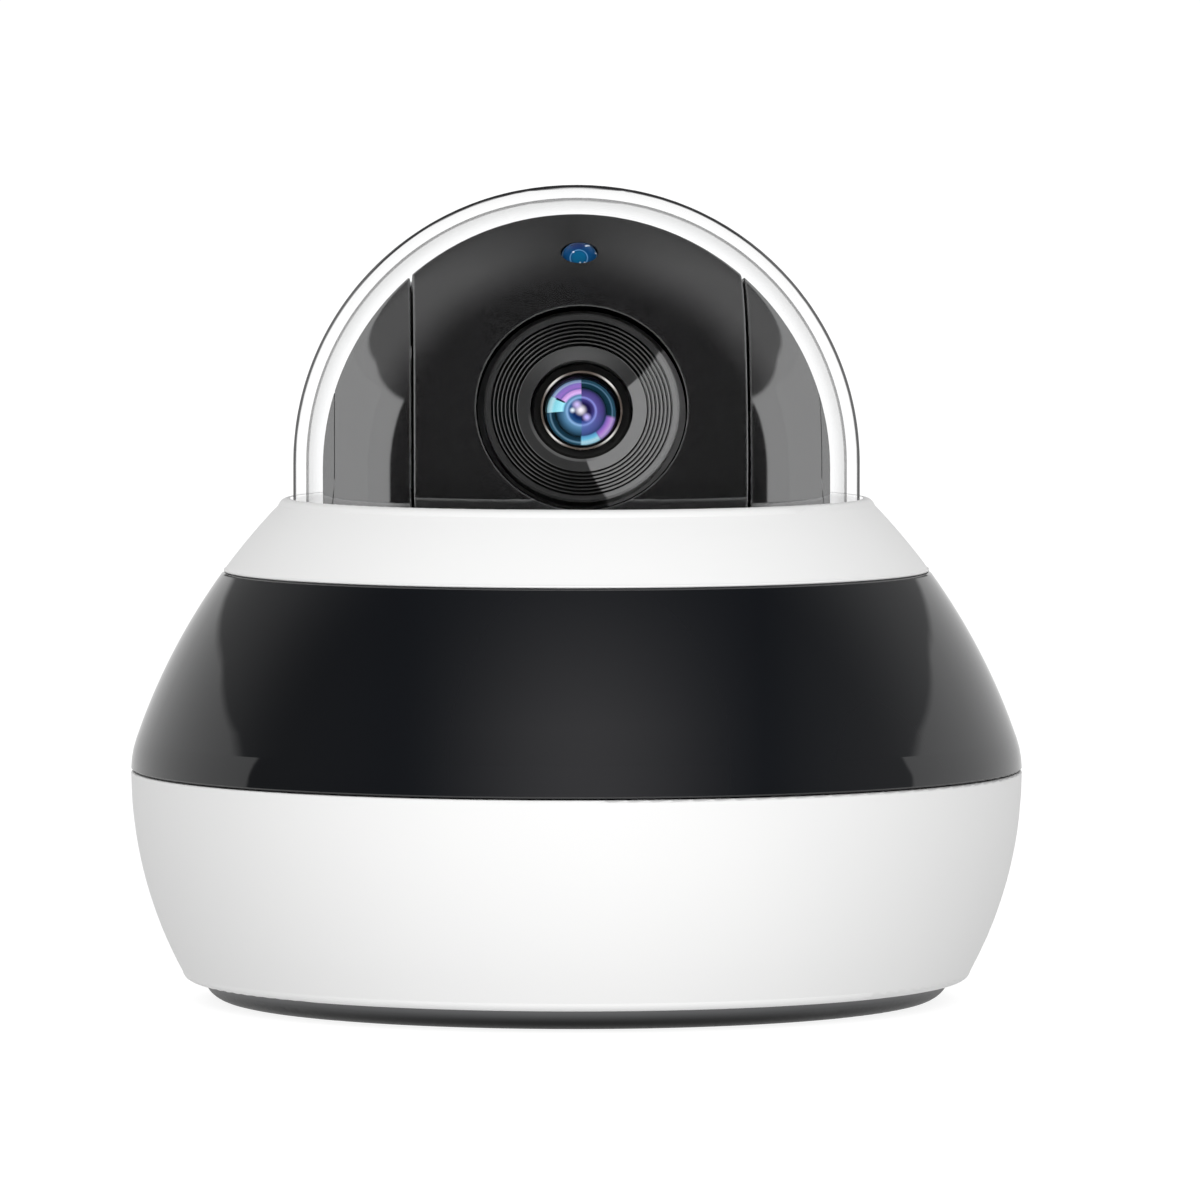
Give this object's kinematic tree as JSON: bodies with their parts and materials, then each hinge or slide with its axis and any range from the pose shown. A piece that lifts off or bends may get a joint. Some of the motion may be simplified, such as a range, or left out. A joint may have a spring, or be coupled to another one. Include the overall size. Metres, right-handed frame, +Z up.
{
  "type": "security camera",
  "caption": "Squat indoor pan and tilt camera: white rounded base with a dark infrared window band and a black camera head turning and tilting under a clear dome.",
  "frame": {"origin": "centre of the foot ring on the plane it rests on", "axes": "+Z up along the pan axis, -Y is the front that the lens faces, +X is right seen from the front"},
  "size_m": [0.11, 0.11, 0.1006],
  "materials": {
    "white_abs": "fine satin moulded ABS",
    "black_abs": "plain moulded black ABS",
    "head_black": "fine satin black moulding",
    "smoked_window": "polished infrared-passing plastic",
    "clear_dome": "clear polished acrylic",
    "dark_base": "satin dark grey moulding",
    "rubber": "matt black rubber",
    "steel": "zinc plated steel",
    "steel_sheet": "pressed steel sheet",
    "brass": "turned brass",
    "bronze": "sintered bronze",
    "acetal": "natural acetal",
    "motor_case": "drawn steel can",
    "circuit_board": "solder-masked laminate",
    "chip_resin": "moulded epoxy",
    "heat_sink": "extruded aluminium",
    "shield_can": "tinned steel",
    "connector_nylon": "natural nylon",
    "capacitor_can": "aluminium can",
    "speaker_frame": "black painted frame",
    "lamp_epoxy": "dark lamp epoxy",
    "ribbon_film": "amber polyimide film",
    "bezel_black": "turned satin black",
    "barrel_black": "black anodised aluminium",
    "trim_metal": "bright turned ring, slightly warm",
    "coated_glass": "multi-coated glass",
    "lens_glass": "coated glass",
    "sensor_die": "covered silicon",
    "blue_lens": "blue tinted lens"
  },
  "bodies": {
    "base": {"base_screws": "steel", "board_chips": "chip_resin", "board_headers": "connector_nylon", "bottom_cover": "dark_base", "bottom_cover_screws": "steel", "card_socket": "shield_can", "chassis_deck": "black_abs", "dome_cover": "clear_dome", "dome_gasket": "rubber", "dome_retainer": "black_abs", "foot_ring": "rubber", "ir_lamp_board": "circuit_board", "ir_lamp_holder": "black_abs", "ir_lamps": "lamp_epoxy", "ir_window_band": "smoked_window", "lower_shell": "white_abs", "main_board": "circuit_board", "microphone": "shield_can", "pan_motor": "motor_case", "pan_retainer": "acetal", "power_capacitors": "capacitor_can", "processor_heat_sink": "heat_sink", "radio_antenna": "circuit_board", "radio_module": "shield_can", "reset_switch": "chip_resin", "speaker": "speaker_frame", "tripod_insert": "brass", "upper_collar": "white_abs", "usb_power_socket": "shield_can"},
    "reset": {"reset_button": "white_abs"},
    "pan_drive": {"pan_pinion": "brass", "pan_motor_shaft": "steel"},
    "pan_unit": {"turntable": "black_abs", "pan_bush": "bronze", "pan_gear": "acetal", "yoke_arm_left": "steel_sheet", "yoke_arm_right": "steel_sheet", "cheek_cover_left": "head_black", "cheek_cover_right": "head_black", "yoke_screws": "steel", "tilt_pins": "steel", "tilt_motor": "motor_case", "head_cable": "ribbon_film"},
    "tilt_drive": {"tilt_pinion": "brass", "tilt_motor_shaft": "steel"},
    "head": {"head_front_shell": "head_black", "head_rear_shell": "head_black", "head_screws": "steel", "tilt_bushes": "bronze", "tilt_gear": "acetal", "lens_bezel": "bezel_black", "lens_barrel": "barrel_black", "lens_trim_ring": "trim_metal", "front_lens": "coated_glass", "inner_lenses": "lens_glass", "sensor_board": "circuit_board", "image_sensor": "sensor_die", "lens_holder": "black_abs", "light_sensor_lens": "blue_lens"},
    "filter": {"filter_slider": "black_abs"}
  },
  "joints": [
    {"name": "pan", "type": "hinge", "parent": "base", "child": "pan_unit", "pos_m": [0, 0, 0.0313], "axis": [0, 0, 1], "range_deg": [-177.5, 177.5]},
    {"name": "tilt", "type": "hinge", "parent": "pan_unit", "child": "head", "pos_m": [0, 0, 0.06565], "axis": [-1, 0, 0], "range_deg": [-22, 73]},
    {"name": "pan_pinion_spin", "type": "hinge", "parent": "base", "child": "pan_drive", "pos_m": [0, -0.02175, 0.0288], "axis": [0, 0, 1], "range_deg": [-855, 855]},
    {"name": "tilt_pinion_spin", "type": "hinge", "parent": "pan_unit", "child": "tilt_drive", "pos_m": [0.0188, 0, 0.05125], "axis": [-1, 0, 0], "range_deg": [-366, 111]},
    {"name": "reset_press", "type": "slide", "parent": "base", "child": "reset", "axis": [0, -1, 0], "range_m": [0, 0.0004], "stiffness_N_per_m": 400, "springref_m": -0.0005},
    {"name": "filter_slide", "type": "slide", "parent": "head", "child": "filter", "axis": [-1, 0, 0], "range_m": [0, 0.0062]}
  ],
  "couplings": [
    {"joint": "pan_pinion_spin", "follows": "pan", "ratio": -4.8},
    {"joint": "tilt_pinion_spin", "follows": "tilt", "ratio": -5}
  ]
}
